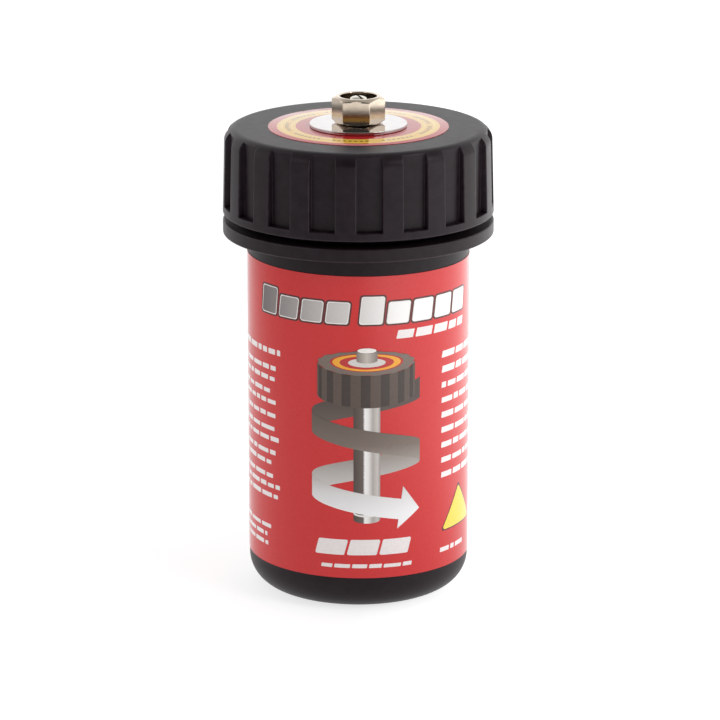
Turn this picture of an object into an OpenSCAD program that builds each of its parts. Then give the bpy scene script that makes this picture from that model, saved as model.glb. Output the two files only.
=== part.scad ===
// Screw-cap canister filter with a sheathed magnet core, for a heating circuit.
// The canister stands on its base: the origin is the centre of the base, +Z runs up the
// canister's axis, the label faces -Y and the two pipe ports point to +Y.

/* [Canister] */
// Outer diameter of the canister
body_d = 105.2; // [100:0.2:106]
// Thickness of the canister's wall
wall_t = 6; // [5:0.5:7]
// Thickness of the canister's floor
floor_t = 8; // [7:0.5:9]
// Radius of the rounded lower edge
base_round = 15; // [8:0.5:16]
// Height of the flange's underside above the base
flange_z = 173.8; // [172:0.2:180]
// Thickness of the flange
flange_t = 6.3; // [5:0.1:7]
// Outer diameter of the flange
flange_d = 128.4; // [124:0.2:130]

/* [Screw cap] */
// Outer diameter of the cap at its lower rim
cap_d = 128.4; // [126:0.2:130]
// Height of the cap
cap_h = 40.5; // [39:0.5:43]
// Radius of the cap's rounded upper edge
cap_round = 6.1; // [4:0.1:8]
// Open gap between the flange and the cap
cap_gap = 3.6; // [3:0.1:4.4]
// Number of grip recesses around the cap
grip_count = 18; // [12:1:20]
// Depth of each grip recess
grip_depth = 3.4; // [2:0.1:3.6]
// Share of each grip pitch that the recess takes
grip_share = 0.55; // [0.4:0.01:0.6]
// Height of the plain band below the recesses
cap_band_h = 3.8; // [3:0.1:5]
// Pitch of the cap's thread
thread_pitch = 6; // [5:0.5:6]

/* [Label] */
// Height of the label's lower edge above the base
label_z = 17.6; // [15:0.2:22]
// Height of the label
label_h = 147; // [130:1:150]
// Angle that the label wraps around the canister
label_arc = 250; // [180:5:270]
// Outer diameter of the round sticker on the cap
sticker_d = 85.2; // [60:0.2:90]

/* [Bleed fitting] */
// Width across the flats of the hexagon
hex_af = 22; // [21:0.5:24]
// Height of the hexagon
hex_h = 12.9; // [11:0.1:14]
// Turn of the hexagon about the vertical axis
hex_turn = -5.5; // [-30:0.5:30]
// Diameter of the polished clamping washer
washer_d = 46; // [42:0.2:50]
// Diameter of the open mouth in the hexagon's top
mouth_d = 17.5; // [15:0.5:17.5]

/* [Magnet core] */
// Outer diameter of the sheath tube
sheath_d = 32; // [30:0.5:34]
// Number of magnets in the core
magnet_count = 6; // [3:1:7]
// Length of each magnet
magnet_l = 22; // [18:0.5:22]
// Thickness of each pole piece
pole_t = 3.5; // [2.5:0.25:4]

/* [Ports] */
// Major diameter of the ports' pipe thread
port_d = 33.25; // [30:0.05:34]
// Height of the lower port's axis above the base
port_low_z = 46; // [42:1:50]
// Distance between the two ports' axes
port_spacing = 94; // [80:1:96]
// Distance of the ports' end faces from the canister's axis
port_reach = 84; // [82:0.5:92]
// Diameter of the waterway through each port
port_bore_d = 22; // [18:0.5:23]

/* [Hidden] */
$fn = 96;
eps = 0.5;              // depth by which joined solids run into each other
clear = 0.3;            // gap between curved faces that don't carry each other
arc_steps = 20;         // facets along a quarter round

// Canister
body_r = body_d / 2;
inner_r = body_r - wall_t;
floor_round = 7;
flange_r = flange_d / 2;
flange_round = 0.6;
flange_top = flange_z + flange_t;
weld_z = flange_z - 6;  // joint between the canister's wall and its neck
neck_r = body_r + 0.8;
socket_r = 18;          // locating ring on the floor, inner radius
socket_wall = 3;
socket_h = 6;
foot_groove = [24, 33]; // shallow moulded groove under the base, inner and outer radius

// Cap, from the flange upwards
cap_z = flange_top + cap_gap;
cap_top = cap_z + cap_h;
cap_r = cap_d / 2;
cap_draft = 0.9;         // the cap's side leans in by this much at its top
plate_t = 8.5;
plate_z = cap_top - plate_t;
land_z = plate_z - 5.6; // underside of the cap's sealing land
mouth_z = land_z - 1.1; // top of the canister's neck
grip_r = cap_r - grip_depth;
grip_pitch = 360 / grip_count;
grip_phase = -90 - 5.3; // one rib stands just to the left of the front
cap_bore_r = neck_r + 3.6;
cap_crest_r = cap_bore_r - 1.4;
neck_crest_r = cap_crest_r - 0.4;
thread_rings = 3;
tooth_crest = 1.2;
tooth_root = 3.2;
shank_hole_r = 10;
web_count = 8;

// Seal on the neck's top face
seal_r = (inner_r + neck_r) / 2;
seal_cord = 1.6;
seal_groove = seal_cord + clear;
seal_z = land_z - clear - seal_cord;

// Stack on top of the cap
gasket_t = 0.35;
washer_t = 1.5;
washer_z = cap_top + gasket_t;
hex_z = washer_z + washer_t;
hex_top = hex_z + hex_h;
hex_edge = 0.92;        // radius of the hexagon's end faces, as a share of half its width
shank_r = 9.6;
shank_z = land_z - 3;
well_z = hex_top - 9;
web_z = well_z - 7.5;
screw_r = 4.1;
screw_shank_r = 3;
screw_top = hex_top - 0.1;
screw_dome = 1.5;
screw_head_z = screw_top - 6.4;
slot_turn = 64;
bleed_cord = 0.75;

// Sheath, standing just clear of the floor
sheath_r = sheath_d / 2;
sheath_wall = 1;
sheath_in_r = sheath_r - sheath_wall;
sheath_foot_z = floor_t + 1;
sheath_z = sheath_foot_z + 4;
collar_top = land_z - 14;
sheath_top = collar_top - 8;
collar_z = sheath_top - 10;
collar_r = 24;

// Core, hanging in the sheath
core_r = sheath_in_r - 0.5;
core_wall = 0.8;
core_in_r = core_r - core_wall;
core_z = sheath_z + 1;
core_foot_t = 2;
core_foot_plug = 6;
core_top = collar_top - 4;
head_plug = 6;
magnet_r = core_in_r - 0.4;
stack_z = core_z + core_foot_t + core_foot_plug + 1;
stack_pitch = magnet_l + pole_t;
stack_top = stack_z + magnet_count * stack_pitch + pole_t;
head_flange_r = 20;
head_flange_t = 3;
head_bore_r = shank_r + 0.2;
head_chamber_z = shank_z - 7;
core_ring_cord = 0.75;
core_ring_z = core_top + 2.2;

// Ports
port_r = port_d / 2;
port_bore_r = port_bore_d / 2;
port_heights = [port_low_z, port_low_z + port_spacing];
port_pitch = 2.309;
port_rings = 6;
port_root_r = port_r - 1.48;
boss_r = 22;
boss_y = body_r + 7.4;
insert_y = body_r + 0.2;
insert_r = 17;
port_hex_af = 41;
port_hex_t = 6;
port_thread_y = boss_y + port_hex_t + 3;

MAGNETS = [for (i = [1:magnet_count]) str("magnet_", i)];
POLES = [for (i = [1:magnet_count + 1]) str("pole_piece_", i)];

// Points along an arc in the plane, from one angle to another
function arc(centre, r, from, to) = [
    for (i = [0:arc_steps])
        let (a = from + (to - from) * i / arc_steps)
        centre + r * [cos(a), sin(a)]
];

// Points of a row of ring-shaped thread teeth going up from z, between two radii
function teeth(z, pitch, count, root_r, crest_r, crest_w, root_w) = [
    for (i = [0:count - 1])
        for (p = [[root_r, -root_w / 2], [crest_r, -crest_w / 2],
                  [crest_r, crest_w / 2], [root_r, root_w / 2]])
            [p[0], z + i * pitch + p[1]]
];

// The points of a path in the opposite order
function reversed(path) = [for (i = [len(path) - 1:-1:0]) path[i]];

// Disc or tube standing on z
module tube(z, h, r, bore = 0) {
    translate([0, 0, z]) difference() {
        cylinder(h = h, r = r);
        if (bore > 0) translate([0, 0, -1]) cylinder(h = h + 2, r = bore);
    }
}

// Cylinder lying along +Y, from y to y + h, at the height z
module along_y(y, h, r, z, sides = 96) {
    translate([0, y, z]) rotate([-90, 0, 0]) cylinder(h = h, r = r, $fn = sides);
}

// Ring of round cord, an O-ring
module cord_ring(ring_r, cord, z) {
    translate([0, 0, z]) rotate_extrude() translate([ring_r, 0]) circle(r = cord, $fn = 32);
}

// Wall and floor, with the locating socket for the sheath and the holes of the two ports
module canister() {
    color([0.16, 0.15, 0.16]) difference() {
        rotate_extrude() polygon(concat(
            [[0, 0], [foot_groove[0], 0], [foot_groove[0] + 0.6, 1],
             [foot_groove[1] - 0.6, 1], [foot_groove[1], 0]],
            arc([body_r - base_round, base_round], base_round, -90, 0),
            [[body_r, weld_z], [inner_r, weld_z]],
            reversed(arc([inner_r - floor_round, floor_t + floor_round], floor_round, -90, 0)),
            [[socket_r + socket_wall, floor_t],
             [socket_r + socket_wall - 0.5, floor_t + socket_h],
             [socket_r + 0.5, floor_t + socket_h], [socket_r, floor_t], [0, floor_t]]
        ));
        for (z = port_heights) along_y(inner_r - 10, wall_t + 14, port_bore_r + 0.5, z);
    }
}

// Flange and threaded neck, with the seal's groove in its top
module neck_ring() {
    color([0.16, 0.15, 0.16]) rotate_extrude() polygon(concat(
        [[inner_r, weld_z], [body_r, weld_z], [body_r, flange_z]],
        arc([flange_r - flange_round, flange_z + flange_round], flange_round, -90, 0),
        [[flange_r, flange_top - 0.5], [flange_r - 0.5, flange_top], [neck_r, flange_top]],
        teeth(flange_top + 7, thread_pitch, thread_rings, neck_r, neck_crest_r,
              tooth_crest, tooth_root),
        [[neck_r, mouth_z - 1], [neck_r - 1, mouth_z],
         [seal_r + seal_groove, mouth_z], [seal_r + seal_groove, seal_z - seal_groove],
         [seal_r - seal_groove, seal_z - seal_groove], [seal_r - seal_groove, mouth_z],
         [inner_r + 0.6, mouth_z], [inner_r, mouth_z - 0.6]]
    ));
}

// Boss on the canister's back, fitted to the wall, that holds a port
module boss(z) {
    color([0.16, 0.15, 0.16]) difference() {
        along_y(inner_r - 8, boss_y - inner_r + 8, boss_r, z);
        cylinder(h = mouth_z, r = body_r + 0.02, $fn = 180);
        along_y(inner_r - 10, boss_y, insert_r, z);
    }
}

module boss_lower() {
    boss(port_heights[0]);
}

module boss_upper() {
    boss(port_heights[1]);
}

// Wrapped label, open at the back between the ports
module label_wrap() {
    color([0.77, 0.27, 0.27])
        rotate([0, 0, -90 - label_arc / 2])
            rotate_extrude(angle = label_arc, $fn = 180)
                translate([body_r + 0.02, label_z]) square([0.25, label_h]);
}

// Screwed-in spigot with a hexagon collar and an outside pipe thread
module port(z) {
    color([0.72, 0.66, 0.52]) difference() {
        union() {
            along_y(insert_y + 0.1, boss_y - insert_y - 0.1, insert_r - 0.08, z);
            intersection() {
                along_y(boss_y, port_hex_t, port_hex_af / 2 / cos(30), z, 6);
                translate([0, boss_y, z]) rotate([-90, 0, 0]) rotate_extrude()
                    polygon([[0, 0], [port_hex_af / 2 + 3, 0], [port_hex_af / 2 + 3, port_hex_t - 2],
                             [port_hex_af / 2 - 0.5, port_hex_t], [0, port_hex_t]]);
            }
            translate([0, boss_y + port_hex_t, z]) rotate([-90, 0, 0]) rotate_extrude()
                polygon(concat(
                    [[0, -eps], [port_root_r - 0.5, -eps], [port_root_r - 0.5, 1.6]],
                    teeth(port_thread_y - boss_y - port_hex_t, port_pitch, port_rings,
                          port_root_r, port_r, 0.6, 2.2),
                    [[port_root_r, port_reach - boss_y - port_hex_t - 1],
                     [port_root_r - 1, port_reach - boss_y - port_hex_t],
                     [0, port_reach - boss_y - port_hex_t]]
                ));
        }
        along_y(insert_y - 1, port_reach, port_bore_r, z);
    }
}

module port_lower() {
    port(port_heights[0]);
}

module port_upper() {
    port(port_heights[1]);
}

module sheath_tube() {
    color([0.75, 0.75, 0.76]) tube(sheath_z, sheath_top - sheath_z, sheath_r, sheath_in_r);
}

// Pull ring at the sheath's mouth, with a finger groove
module sheath_collar() {
    seat_r = sheath_r + 0.05;
    color([0.2, 0.2, 0.21]) rotate_extrude() polygon([
        [seat_r, collar_z], [seat_r + 3, collar_z], [seat_r + 3.5, collar_z + 0.5],
        [seat_r + 3.5, collar_z + 8], [collar_r - 1.5, collar_z + 11], [collar_r, collar_z + 12.5],
        [collar_r, collar_top - 1], [collar_r - 1, collar_top], [sheath_in_r + 1, collar_top],
        [sheath_in_r, collar_top - 1], [sheath_in_r, sheath_top], [seat_r, sheath_top]
    ]);
}

// Closed end that stands in the locating socket
module sheath_foot() {
    seat_r = sheath_r + 0.05;
    foot_r = socket_r - 1;
    color([0.2, 0.2, 0.21]) rotate_extrude() polygon([
        [0, sheath_foot_z], [foot_r - 2, sheath_foot_z], [foot_r, sheath_foot_z + 2],
        [foot_r, sheath_z + 7.5], [foot_r - 0.5, sheath_z + 8], [seat_r, sheath_z + 8],
        [seat_r, sheath_z], [0, sheath_z]
    ]);
}

module mouth_seal() {
    color([0.1, 0.1, 0.1]) cord_ring(seal_r, seal_cord, seal_z);
}

module core_ring() {
    color([0.1, 0.1, 0.1]) cord_ring(core_r - 0.5, core_ring_cord, core_ring_z);
}

// Turned cap: rounded top edge, threaded skirt, sealing land and centre hole
module cap_shell() {
    rotate_extrude() polygon(concat(
        [[cap_bore_r + 0.8, cap_z], [cap_r - 0.5, cap_z], [cap_r, cap_z + 0.5]],
        arc([cap_r - cap_draft - cap_round, cap_top - cap_round], cap_round, 0, 90),
        [[shank_hole_r, cap_top], [shank_hole_r, plate_z],
         [seal_r - seal_groove - 0.9, plate_z], [seal_r - seal_groove - 0.9, land_z],
         [cap_bore_r, land_z]],
        reversed(teeth(flange_top + 10, thread_pitch, thread_rings, cap_bore_r, cap_crest_r,
                       tooth_crest, tooth_root)),
        [[cap_bore_r, cap_z + 0.8]]
    ));
}

// Hollow between two grip ribs, open through the cap's rounded edge
module grip_recess() {
    half = grip_pitch * grip_share / 2;
    far = cap_r + 5;
    translate([0, 0, cap_z + cap_band_h]) linear_extrude(height = cap_h) difference() {
        polygon([[0, 0], far * [cos(half), -sin(half)], far * [cos(half), sin(half)]]);
        circle(r = grip_r, $fn = 180);
    }
}

module cap() {
    web_in = head_flange_r + 3;
    web_out = seal_r - seal_groove;
    color([0.18, 0.16, 0.17]) {
        difference() {
            cap_shell();
            for (i = [0:grip_count - 1])
                rotate([0, 0, grip_phase + (i + 0.5) * grip_pitch]) grip_recess();
        }
        for (i = [0:web_count - 1])
            rotate([0, 0, (i + 0.5) * 360 / web_count])
                translate([web_in, -1.5, land_z + 0.8])
                    cube([web_out - web_in, 3, plate_z - land_z - 0.8 + eps]);
    }
}

module cap_sticker() {
    color([0.85, 0.6, 0.3]) tube(cap_top, 0.2, sticker_d / 2, washer_d / 2 - 0.5);
}

module cap_gasket() {
    color([0.08, 0.08, 0.08]) tube(cap_top, gasket_t, washer_d / 2 - 0.9, shank_hole_r);
}

module clamp_washer() {
    color([0.8, 0.82, 0.84]) translate([0, 0, washer_z]) rotate_extrude() polygon([
        [shank_hole_r, 0], [washer_d / 2 - 0.2, 0], [washer_d / 2, 0.2],
        [washer_d / 2, washer_t - 0.3], [washer_d / 2 - 0.3, washer_t], [shank_hole_r, washer_t]
    ]);
}

// Hexagon-headed hollow bolt that clamps the core to the cap and holds the bleed screw
module bleed_fitting() {
    end_r = hex_af / 2 * hex_edge;
    corner_r = hex_af / 2 / cos(30) + 0.1;
    slope_h = (corner_r - end_r) * tan(30);
    color([0.75, 0.69, 0.58]) difference() {
        union() {
            intersection() {
                rotate([0, 0, hex_turn]) translate([0, 0, hex_z])
                    cylinder(h = hex_h, r = hex_af / 2 / cos(30), $fn = 6);
                rotate_extrude() polygon([
                    [0, hex_z], [end_r, hex_z], [corner_r, hex_z + slope_h],
                    [corner_r, hex_top - slope_h], [end_r, hex_top], [0, hex_top]
                ]);
            }
            rotate_extrude() polygon(concat(
                [[0, shank_z], [shank_r - 1.2, shank_z]],
                teeth(shank_z + 2, 2, 4, shank_r - 0.8, shank_r, 0.5, 1.6),
                [[shank_r - 0.8, shank_z + 9.4], [shank_r, shank_z + 10.2],
                 [shank_r, hex_z + eps], [0, hex_z + eps]]
            ));
        }
        translate([0, 0, well_z]) cylinder(h = hex_h, r = mouth_d / 2);
        translate([0, 0, shank_z - 1]) cylinder(h = hex_top - shank_z, r = screw_shank_r + 0.3);
        translate([0, 0, shank_z - 1]) cylinder(h = web_z - shank_z + 1, r = 6);
    }
}

// Flanged end of the core, bored for the fitting, with cross holes for trapped air
module core_head() {
    groove_r = core_r - 1.4;
    color([0.78, 0.7, 0.5]) difference() {
        rotate_extrude() polygon([
            [0, core_top - head_plug], [core_in_r - 0.05, core_top - head_plug],
            [core_in_r - 0.05, core_top], [core_r, core_top],
            [core_r, core_ring_z - 1.05], [groove_r, core_ring_z - 1.05],
            [groove_r, core_ring_z + 1.05], [core_r, core_ring_z + 1.05],
            [core_r, plate_z - head_flange_t], [head_flange_r, plate_z - head_flange_t],
            [head_flange_r, plate_z], [0, plate_z]
        ]);
        translate([0, 0, head_chamber_z]) cylinder(h = 30, r = head_bore_r);
        for (a = [0, 90])
            rotate([0, 0, a]) along_y(-core_r - 2, 2 * core_r + 4, 1.6, head_chamber_z + 4, 32);
    }
}

module core_tube() {
    color([0.7, 0.7, 0.71]) tube(core_z + core_foot_t, core_top - core_z - core_foot_t,
                                 core_r, core_in_r);
}

// Plug that closes the core's lower end
module core_foot() {
    color([0.6, 0.6, 0.62]) rotate_extrude() polygon([
        [0, core_z], [core_r - 0.6, core_z], [core_r, core_z + 0.6], [core_r, core_z + core_foot_t],
        [core_in_r - 0.05, core_z + core_foot_t],
        [core_in_r - 0.05, core_z + core_foot_t + core_foot_plug],
        [0, core_z + core_foot_t + core_foot_plug]
    ]);
}

// Rubber pad that keeps the magnet stack tight
module stack_pad() {
    pad_z = stack_top + 0.1;
    color([0.12, 0.12, 0.12]) tube(pad_z, core_top - head_plug - 0.1 - pad_z, magnet_r - 1);
}

module magnet(i) {
    color([0.55, 0.56, 0.58])
        tube(stack_z + (i - 1) * stack_pitch + pole_t, magnet_l, magnet_r);
}

module pole_piece(i) {
    color([0.35, 0.36, 0.38]) tube(stack_z + (i - 1) * stack_pitch, pole_t, magnet_r);
}

module bleed_seal() {
    color([0.1, 0.1, 0.1]) cord_ring(screw_shank_r + 1.1, bleed_cord, well_z + bleed_cord + 0.25);
}

// Slotted, domed bleed screw
module bleed_screw() {
    color([0.82, 0.82, 0.8]) difference() {
        rotate_extrude() polygon(concat(
            [[0, web_z - 2], [screw_shank_r - 1, web_z - 2], [screw_shank_r, web_z - 1],
             [screw_shank_r, screw_head_z], [screw_r, screw_head_z],
             [screw_r, screw_top - screw_dome]],
            [for (i = [1:arc_steps - 1])
                let (a = 90 * i / arc_steps)
                [screw_r * cos(a), screw_top - screw_dome + screw_dome * sin(a)]],
            [[0, screw_top]]
        ));
        rotate([0, 0, -slot_turn]) translate([-screw_r - 1, -0.6, screw_top - 2])
            cube([2 * screw_r + 2, 1.2, 3]);
    }
}

canister();
neck_ring();
boss_lower();
boss_upper();
label_wrap();
port_lower();
port_upper();
sheath_tube();
sheath_collar();
sheath_foot();
mouth_seal();
core_ring();
cap();
cap_sticker();
cap_gasket();
clamp_washer();
bleed_fitting();
core_head();
core_tube();
core_foot();
stack_pad();
bleed_seal();
bleed_screw();
for (i = [1:magnet_count])
    magnet(i);
for (i = [1:magnet_count + 1])
    pole_piece(i);
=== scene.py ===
"""The looks of a screw-cap canister filter with a sheathed magnet core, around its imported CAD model.

Lengths are in millimetres up to make(), which turns them into metres. The origin is the centre of
the canister's base, +Z runs up its axis, the label faces -Y and the pipe ports point to +Y.
"""

import math
import random

import bmesh
import bpy
import numpy as np
from mathutils import Matrix, Vector


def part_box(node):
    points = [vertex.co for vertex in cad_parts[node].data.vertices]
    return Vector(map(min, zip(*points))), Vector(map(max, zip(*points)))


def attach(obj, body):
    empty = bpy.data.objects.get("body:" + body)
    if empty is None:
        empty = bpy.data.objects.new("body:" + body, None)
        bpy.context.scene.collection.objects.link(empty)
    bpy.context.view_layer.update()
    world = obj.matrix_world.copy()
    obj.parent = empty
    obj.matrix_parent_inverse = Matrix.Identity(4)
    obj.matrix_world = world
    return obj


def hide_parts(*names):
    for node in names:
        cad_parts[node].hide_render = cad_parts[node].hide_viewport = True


MM = 0.001
WELD = 1e-6             # metres within which points count as one
FRONT = -math.pi / 2    # direction of the label's middle, as an angle about +Z
TURN = 2 * math.pi
ROUND_TOLERANCE = 0.02  # how far a rounding's facets may lie from the true arc

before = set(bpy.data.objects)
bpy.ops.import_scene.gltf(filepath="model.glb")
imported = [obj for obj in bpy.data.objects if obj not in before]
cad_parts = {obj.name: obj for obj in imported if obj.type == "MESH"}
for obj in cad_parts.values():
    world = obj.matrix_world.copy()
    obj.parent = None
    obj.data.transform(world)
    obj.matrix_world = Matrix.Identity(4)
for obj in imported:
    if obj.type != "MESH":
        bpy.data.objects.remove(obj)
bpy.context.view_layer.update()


def low(node, axis):
    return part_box(node)[0][axis] / MM


def high(node, axis):
    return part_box(node)[1][axis] / MM


def midpoint(node, axis):
    return (low(node, axis) + high(node, axis)) / 2


# ---- sizes
BODY_R = high("canister", 0)
WALL = 6.0
INNER_R = BODY_R - WALL
FLOOR = 8.0
BASE_ROUND = 15.0
FLOOR_ROUND = 7.0
MOUTH_Z = high("neck_ring", 2)
FLANGE_R = high("neck_ring", 0)
FLANGE_Z = high("canister", 2) + 6.0
FLANGE_TOP = FLANGE_Z + 6.3
NECK_R = BODY_R + 0.8
SEAL_R = (INNER_R + NECK_R) / 2

CAP_Z = low("cap", 2)
CAP_TOP = high("cap", 2)
CAP_R = 64.2
CAP_DRAFT = 0.9
CAP_ROUND = 6.1
CAP_BORE_R = NECK_R + 3.6
CAP_CREST_R = CAP_BORE_R - 1.4
NECK_CREST_R = CAP_CREST_R - 0.4
PLATE_Z = CAP_TOP - 8.5
LAND_Z = PLATE_Z - 5.6
HOLE_R = 10.0
THREAD_PITCH = 6.0
THREAD_TURNS = 3

GRIP_COUNT = 18
GRIP_PITCH = TURN / GRIP_COUNT
GRIP_SHARE = 0.55
GRIP_R = CAP_R - 3.4
GRIP_PHASE = FRONT - math.radians(5.3)
GRIP_BAND = 3.8

STICKER_R = high("cap_sticker", 0)
WASHER_R = high("clamp_washer", 0)
WASHER_Z = low("clamp_washer", 2)
HEX_Z = high("clamp_washer", 2)
HEX_TOP = high("bleed_fitting", 2)
HEX_AF = 22.0
HEX_TURN = math.radians(-5.5)
HEX_END = 0.92
MOUTH_R = 8.75
SHANK_R = 9.6
SHANK_Z = low("bleed_fitting", 2)
WELL_Z = HEX_TOP - 9.0
WEB_Z = WELL_Z - 7.5
SCREW_R = 4.1
SCREW_SHANK_R = 3.0
SCREW_TOP = high("bleed_screw", 2)
SLOT_TURN = math.radians(-64)

PORT_HEIGHTS = {n: midpoint(n, 2) for n in ("port_lower", "port_upper")}
PORT_END = high("port_lower", 1)
PORT_BORE_R = 11.0
PORT_R = 16.625
PORT_PITCH = 2.309
PORT_ROOT_R = PORT_R - 1.48
PORT_HEX_AF = 41.0
BOSS_R = 22.0
BOSS_Y = high("boss_lower", 1)
INSERT_R = 17.0
INSERT_Y = BODY_R + 0.3

LABEL_R = high("label_wrap", 0)
LABEL_Z = (low("label_wrap", 2), high("label_wrap", 2))
LABEL_HALF = math.radians(125) * LABEL_R
LABEL_SKEW = -0.0078
FILM = 0.03             # thickness of one printed layer
STRIP = 2.0             # width of the strips in which flat art is wrapped round the canister


# ---- mesh building
def rounded(corners, closed=False, support=0.15):
    """Outline through corners (x, y, radius), each rounded by its radius, with a point just beside
    each rounding so that the flat stretches stay flat in smooth shading."""
    count, outline = len(corners), []
    for i, (x, y, radius) in enumerate(corners):
        corner = np.array([x, y], float)
        if not radius or (not closed and i in (0, count - 1)):
            outline.append(tuple(corner))
            continue
        before = np.array(corners[i - 1][:2], float) - corner
        after = np.array(corners[(i + 1) % count][:2], float) - corner
        room = min(np.linalg.norm(before), np.linalg.norm(after))
        before, after = before / np.linalg.norm(before), after / np.linalg.norm(after)
        half = math.acos(max(-1, min(1, before @ after))) / 2
        if half > math.radians(89):
            outline.append(tuple(corner))
            continue
        reach = radius / math.tan(half)
        middle = before + after
        centre = corner + middle / np.linalg.norm(middle) * radius / math.sin(half)
        start, end = corner + before * reach - centre, corner + after * reach - centre
        sweep = math.atan2(start[0] * end[1] - start[1] * end[0], start @ end)
        fine = 2 * math.acos(max(0.94, 1 - ROUND_TOLERANCE / radius))
        steps = max(2, math.ceil(abs(sweep) / fine))
        if reach + support < room:
            outline.append(tuple(corner + before * (reach + support)))
        for k in range(steps + 1):
            a = sweep * k / steps
            turned = (start[0] * math.cos(a) - start[1] * math.sin(a),
                      start[0] * math.sin(a) + start[1] * math.cos(a))
            outline.append((centre[0] + turned[0], centre[1] + turned[1]))
        if reach + support < room:
            outline.append(tuple(corner + after * (reach + support)))
    return outline


def circle_angles(count):
    return [TURN * k / count for k in range(count)]


def add_grid(bm, points, closed=False, climb=0):
    """Adds a grid of quads whose columns run all the way round. With closed, the last row meets the
    first. With climb, the last column meets rows of the first that lie that many steps higher."""
    rows, columns = len(points), len(points[0])
    verts = [[bm.verts.new(Vector(p) * MM) for p in row] for row in points]
    for i in range(rows if closed else rows - 1):
        for j in range(columns):
            above, beside = (i + 1) % rows, (j + 1) % columns
            lift = 0 if beside else climb
            if above + lift < rows:
                bm.faces.new((verts[i][j], verts[i + lift][beside],
                              verts[above + lift][beside], verts[above][j]))


def turn_profile(bm, profile, angles, closed=False, shape=None):
    """Turns a profile of (radius, height) about the Z axis. shape(radius, height, column) gives
    another radius at one of the angles."""
    points = []
    for r, z in profile:
        radii = [shape(r, z, j) if shape else r for j in range(len(angles))]
        points.append([(q * math.cos(a), q * math.sin(a), z) for q, a in zip(radii, angles)])
    add_grid(bm, points, closed=closed)


def smooth_step(x, start, end):
    t = max(0.0, min(1.0, (x - start) / (end - start)))
    return t * t * (3 - 2 * t)


def tooth_rows(crest_w, root_w, pitch):
    """Rows of one thread tooth, as (offset along the axis, share of the tooth's height)."""
    side = [(-crest_w / 2 + 0.12, 1), (-crest_w / 2 - 0.06, 0.93), (-root_w / 2 + 0.08, 0.06),
            (-root_w / 2 - 0.12, 0)]
    side = [(max(x, -pitch / 2 + 0.02 * k), h) for k, (x, h) in enumerate(side)]
    return side[::-1] + [(-x, h) for x, h in side]


def add_thread(bm, bottom, top, pitch, phase, root, crest, tooth, angles, run_out):
    """Adds a helical thread between two heights, which fades out over run_out at each end. phase is
    the height of a tooth's middle at the first angle."""
    rows = tooth_rows(*tooth, pitch)
    first = math.floor((bottom - phase) / pitch) - 2
    last = math.ceil((top - phase) / pitch) + 1
    points = []
    for k in range(first, last + 1):
        for offset, share in rows:
            line = []
            for a in angles:
                z = phase + pitch * (k + (a - angles[0]) / TURN) + offset
                z = max(bottom, min(top, z))
                fade = smooth_step(z, bottom, bottom + run_out)
                fade *= 1 - smooth_step(z, top - run_out, top)
                r = root + (crest - root) * share * fade
                line.append((r * math.cos(a), r * math.sin(a), z))
            points.append(line)
    add_grid(bm, points, climb=len(rows))


def least(a, b, blend):
    """The smaller of two numbers, with a rounded change from one to the other."""
    h = max(blend - abs(a - b), 0) / blend
    return min(a, b) - h * h * blend / 4


def hexagon_radius(across_flats, angle, edge=0.7):
    """Radius of a hexagon with rounded edges, in a direction counted from one of its corners."""
    half = across_flats / 2
    psi = (angle + math.pi / 6) % (math.pi / 3) - math.pi / 6
    centre = (half - edge) / math.cos(math.pi / 6)
    tangent = math.atan2(edge / 2, centre + edge * math.cos(math.pi / 6))
    if abs(psi) > tangent:
        return half / math.cos(math.pi / 6 - abs(psi))
    return centre * math.cos(psi) + math.sqrt(edge ** 2 - (centre * math.sin(psi)) ** 2)


def hexagon_angles(turn, edge_steps=3, flat_steps=7):
    """Angles that follow a hexagon's flats and the roundings of its edges."""
    edge = [math.radians(x) for x in np.linspace(-2.2, 2.2, 2 * edge_steps + 1)]
    flat = [math.radians(x) for x in np.linspace(2.8, 57.2, flat_steps)]
    return [turn + k * math.pi / 3 + a for k in range(6) for a in edge + flat]


def new_mesh(name, bm):
    mesh = bpy.data.meshes.new(name)
    bm.to_mesh(mesh)
    bm.free()
    return mesh


def new_object(name, data):
    made = bpy.data.objects.new(name, data)
    bpy.context.scene.collection.objects.link(made)
    return made


def mark_edges(bm):
    """Stores how sharply the surface bends outwards at each point, for the rubbed edges and their painted
    highlight.
    """
    layer = bm.verts.layers.float.new("edge")
    for v in bm.verts:
        bend = max((e.calc_face_angle_signed(0) for e in v.link_edges), default=0)
        v[layer] = smooth_step(math.degrees(bend), 5, 16)


def make(name, bm, material, body, slot, nodes=(), sharp=38, along=None):
    """Turns a bmesh in metres into a piece that rides on a body and stands for CAD nodes."""
    bmesh.ops.remove_doubles(bm, verts=bm.verts, dist=WELD)
    bmesh.ops.recalc_face_normals(bm, faces=bm.faces)
    if along is not None:
        bmesh.ops.transform(bm, matrix=along, verts=bm.verts)
    mark_edges(bm)
    mesh = new_mesh(name, bm)
    mesh.shade_smooth()
    mesh.set_sharp_from_angle(angle=math.radians(sharp))
    mesh.materials.append(material)
    piece = new_object(name, mesh)
    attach(piece, body)
    if nodes:
        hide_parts(*nodes)
    return piece


def lathe(name, corners, material, body, slot, nodes=(), steps=128, closed=True, **options):
    """A turned piece from its profile's corners (radius, height, rounding)."""
    bm = bmesh.new()
    turn_profile(bm, rounded(corners, closed=closed), circle_angles(steps), closed=closed)
    return make(name, bm, material, body, slot, nodes, **options)


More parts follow.
